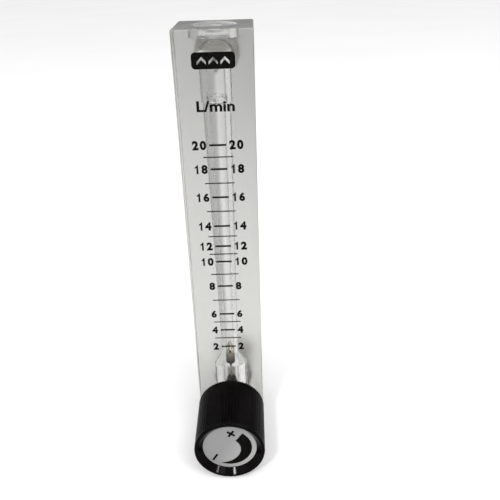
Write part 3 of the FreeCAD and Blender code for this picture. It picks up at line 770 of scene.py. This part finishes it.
def block_finish(place):
    """How rough a face of the block is, by its middle, the outer faces first."""
    if place.y > BLOCK_HIGH.y - BLOCK_BEVEL:
        return SATIN
    if abs(place.x) > BLOCK_HIGH.x - BLOCK_BEVEL:
        return SAWN
    if max(abs(place.y) - BLOCK_HIGH.y, place.z - TOP, -place.z) > -BLOCK_BEVEL / 2:
        return POLISHED
    from_axis = math.hypot(place.x, place.y)
    if place.z < FLARE_HIGH and from_axis < NEAR_CHAMBER:
        return CLOUDED
    in_recess = place.z > TOP - NEAR_RECESS or place.z < NEAR_RECESS
    if in_recess or from_axis > NEAR_CHAMBER:
        return THREADED
    return BORED


def clear_block():
    taper_high = TOP - PLUG_DEPTH - UPPER_CHAMBER_LENGTH
    bore = turned_mesh("bore", [
        (CHAMBER_RADIUS, PLUG_DEPTH), (CHAMBER_RADIUS, FLARE_LOW),
        (TAPER_LOW_RADIUS, FLARE_HIGH), (TAPER_HIGH_RADIUS, taper_high),
        (UPPER_CHAMBER_RADIUS, taper_high), (UPPER_CHAMBER_RADIUS, TOP - PLUG_DEPTH),
    ])
    recesses = [
        turned_mesh("recess", [(RECESS_RADIUS, low), (RECESS_RADIUS, high)])
        for low, high in ((-CUT_OVER, RECESS_DEPTH), (TOP - RECESS_DEPTH, TOP + CUT_OVER))
    ]
    passage = turned_mesh("passage", [
        (PASSAGE_RADIUS, 0), (PASSAGE_RADIUS, BLOCK_HIGH.y - PORT_DEPTH),
    ], "Y", TOP - OUTLET_DROP)
    mesh = cut_mesh(block_shell(), [bore, passage] + recesses)
    mesh.name = "clear_block"
    smooth_with_sharp_edges(mesh)
    block = add_piece("clear_block", mesh, BLOCK_ACRYLIC, "block")
    finish = mesh.attributes.new(FINISH, "FLOAT", "FACE")
    for face in mesh.polygons:
        finish.data[face.index].value = block_finish(face.center)
    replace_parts(block, "body_block")


def plug_head(name, outer, inward, node):
    """A plug's head with its hexagon socket; below it the plug is cemented in the block."""
    def at(depth):
        return outer + inward * (PLUG_INSET + depth)

    head = turned_mesh(name, [
        (PLUG_HEAD_RADIUS - PLUG_HEAD_BEVEL, at(0)), (PLUG_HEAD_RADIUS, at(PLUG_HEAD_BEVEL)),
        (PLUG_HEAD_RADIUS, at(PLUG_HEAD_THICK)),
    ])
    corner = SOCKET_ACROSS / math.sqrt(3)
    socket = bmesh.new()
    bmesh.ops.create_cone(socket, cap_ends=True, segments=SOCKET_SIDES, radius1=corner,
                          radius2=corner, depth=SOCKET_DEPTH * 2)
    bmesh.ops.translate(socket, verts=socket.verts, vec=(0, 0, at(0)))
    mesh = cut_mesh(head, [mesh_from(socket, "socket")])
    mesh.name = name
    smooth_with_sharp_edges(mesh)
    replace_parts(add_piece(name, mesh, PLUG_ACRYLIC, "block"), node)


clear_block()
plug_head("top_plug_head", TOP, -1, "top_plug")
plug_head("bottom_plug_head", 0.0, 1, "bottom_plug")
scale_print()
flow_mark()
knob_print()


# Camera

def add_camera():
    turn = (Matrix.Rotation(CAMERA_ROLL, 3, "Z") @ Matrix.Rotation(CAMERA_TILT, 3, "X")
            @ Matrix.Rotation(CAMERA_PAN, 3, "Y"))
    upright = Matrix(((1, 0, 0), (0, 0, -1), (0, 1, 0)))
    facing = (turn @ upright).transposed() @ Matrix.Diagonal((1, -1, -1))
    data = bpy.data.cameras.new("camera")
    data.sensor_width = SENSOR
    data.lens = FOCAL_PIXELS * SENSOR / IMAGE_SIDE
    data.clip_start = CLIP_START
    camera = add_object("camera", data)
    place = CAMERA_FROM_TOP_FRONT + Vector((0, FRONT, TOP))
    camera.matrix_world = Matrix.Translation(place) @ facing.to_4x4()
    bpy.context.scene.camera = camera


# Floor, backdrop and studio light

def mix_for_reflections(tree, seen, reflected):
    """One shader for what is seen directly or through the acrylic, one for reflections."""
    path = tree.nodes.new("ShaderNodeLightPath").outputs
    only = calculate(tree, "SUBTRACT", path["Is Glossy Ray"], path["Is Transmission Ray"],
                     clamp=True)
    return mix_shaders(tree, only, seen, reflected)


def mix_for_acrylic(tree, seen, through):
    """One shader for what is seen directly, one for what is seen through the acrylic."""
    path = tree.nodes.new("ShaderNodeLightPath").outputs
    return mix_shaders(tree, path["Is Transmission Ray"], seen, through)


def dim_aside(tree, vector, near, far):
    """Painted shade: a level that falls from 1 to the dim one between two distances to either
    side.
    """
    side = calculate(tree, "ABSOLUTE", one_axis(tree, vector, "X"))
    return spread(tree, side, 1.0, ASIDE_PAINTED_SHADE_LEVEL, near, far)


def diffuse(tree):
    return tree.nodes.new("ShaderNodeBsdfDiffuse")


def add_floor():
    mat, tree, shader = new_material("pale_floor", {
        "Roughness": FLOOR_ROUGHNESS,
        "Specular IOR Level": FLOOR_SPECULAR,
    })
    colour(tree, shader, grain(tree, *FLOOR_CLOUDS), FLOOR_SHADES)
    # Through the acrylic the floor is a little dimmer to the left and far behind: painted
    # shade on what is seen through the block
    along = spread(tree, along_slope(tree, FLOOR_PAINTED_SHADE_SLOPE), *FLOOR_LEVELS, *FLOOR_SPREAD)
    # Painted shade to either side, on top of the slope
    level = calculate(tree, "MULTIPLY", along,
                      dim_aside(tree, seen_place(tree), *FLOOR_ASIDE))
    through = diffuse(tree)
    tree.links.new(level, through.inputs["Color"])
    seen = mix_for_acrylic(tree, shader.outputs["BSDF"], through.outputs["BSDF"])
    # Reflections see a dimmer floor, so that the black plastic stays black
    reflected = diffuse(tree)
    set_inputs(reflected, {"Color": REFLECTED_FLOOR})
    mix = mix_for_reflections(tree, seen, reflected.outputs["BSDF"])
    tree.links.new(mix, tree.nodes["Material Output"].inputs["Surface"])
    mesh = bpy.data.meshes.new("floor")
    corners = rectangle(0, 0, FLOOR_HALF * 2, FLOOR_HALF * 2)
    mesh.from_pydata([(x, y, 0) for x, y in corners], [], [(0, 1, 2, 3)])
    floor = add_object("floor", mesh)
    floor.data.materials.append(mat)


def background(tree):
    return tree.nodes.new("ShaderNodeBackground")


def add_world():
    world = bpy.data.worlds.new("studio")
    world.use_nodes = True
    tree = world.node_tree
    plain = tree.nodes["Background"]
    set_inputs(plain, {"Color": (1, 1, 1, 1), "Strength": WORLD_LEVEL})
    towards = tree.nodes.new("ShaderNodeTexCoord").outputs["Generated"]
    aside = background(tree)
    # Painted shade: through the acrylic the surroundings dim to either side
    tree.links.new(dim_aside(tree, towards, *WORLD_ASIDE), aside.inputs["Color"])
    seen = mix_for_acrylic(tree, plain.outputs["Background"], aside.outputs["Background"])
    room = background(tree)
    tree.links.new(ramp(tree, one_axis(tree, towards, "Z"), ROOM_SHADES, ROOM_RISE),
                   room.inputs["Color"])
    mix = mix_for_reflections(tree, seen, room.outputs["Background"])
    tree.links.new(mix, tree.nodes["World Output"].inputs["Surface"])
    bpy.context.scene.world = world


def add_lamp(name, place, aim, size, power):
    data = bpy.data.lights.new(name, "AREA")
    data.shape = "RECTANGLE"
    data.size, data.size_y = size
    data.energy = power
    lamp = add_object(name, data)
    lamp.location = place
    lamp.rotation_euler = (Vector(aim) - Vector(place)).to_track_quat("-Z", "Y").to_euler()


add_camera()
add_floor()
add_world()
for lamp_name, lamp_values in LAMPS.items():
    add_lamp(lamp_name, *lamp_values)
bpy.context.scene.view_settings.view_transform = "Standard"
